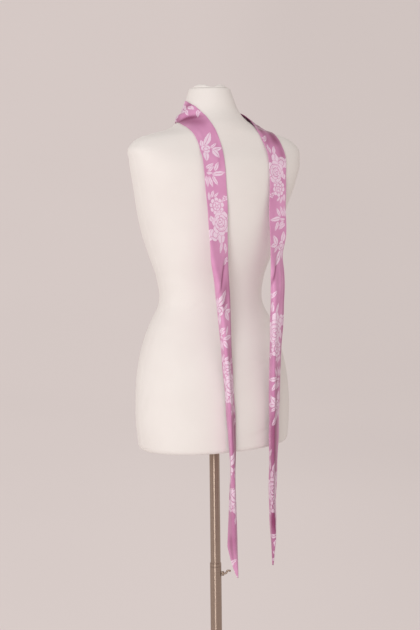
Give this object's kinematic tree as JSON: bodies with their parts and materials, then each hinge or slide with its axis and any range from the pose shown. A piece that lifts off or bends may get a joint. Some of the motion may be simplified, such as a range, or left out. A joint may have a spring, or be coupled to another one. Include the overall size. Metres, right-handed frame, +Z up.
{
  "type": "skinny scarf on a dress form stand",
  "caption": "Long narrow printed satin scarf worn back to front round the neck of a limbless dress form, its tails hanging down the back, on an adjustable pole stand.",
  "frame": {"origin": "middle of the round foot's underside, on the floor, on the pole's axis", "axes": "+Z up along the pole; the form's front faces -Y, its back with the scarf's tails faces +Y, and its left side is +X"},
  "size_m": [0.3968, 0.38, 1.5584],
  "materials": {
    "scarf_satin": "mauve-pink printed satin, pale floral motifs",
    "form_jersey": "cream cotton jersey cover",
    "form_board": "plain plywood",
    "stand_steel": "brushed warm nickel"
  },
  "bodies": {
    "stand": {"stand_foot": "stand_steel", "stand_foot_collar": "stand_steel", "stand_lower_tube": "stand_steel", "stand_tube_bushing": "stand_steel", "clamp_boss": "stand_steel"},
    "clamp": {"clamp_screw": "stand_steel"},
    "mast": {"stand_upper_tube": "stand_steel"},
    "form": {"form_torso": "form_jersey", "form_neck_cover": "form_jersey", "form_base_board": "form_board", "form_pole_socket": "stand_steel", "scarf_throat": "scarf_satin", "scarf_left_shoulder": "scarf_satin", "scarf_left_tail": "scarf_satin", "scarf_right_shoulder": "scarf_satin", "scarf_right_tail": "scarf_satin"}
  },
  "joints": [
    {"name": "height_slide", "type": "slide", "parent": "stand", "child": "mast", "axis": [0, 0, 1], "range_m": [-0.2, 0.2]},
    {"name": "form_swivel", "type": "hinge", "parent": "mast", "child": "form", "pos_m": [0, 0, 0.785], "axis": [0, 0, 1], "continuous": true},
    {"name": "clamp_turn", "type": "hinge", "parent": "stand", "child": "clamp", "pos_m": [-0.0195, 0.01125, 0.5], "axis": [-0.866, 0.5, 0], "range_deg": [0, 360]}
  ]
}
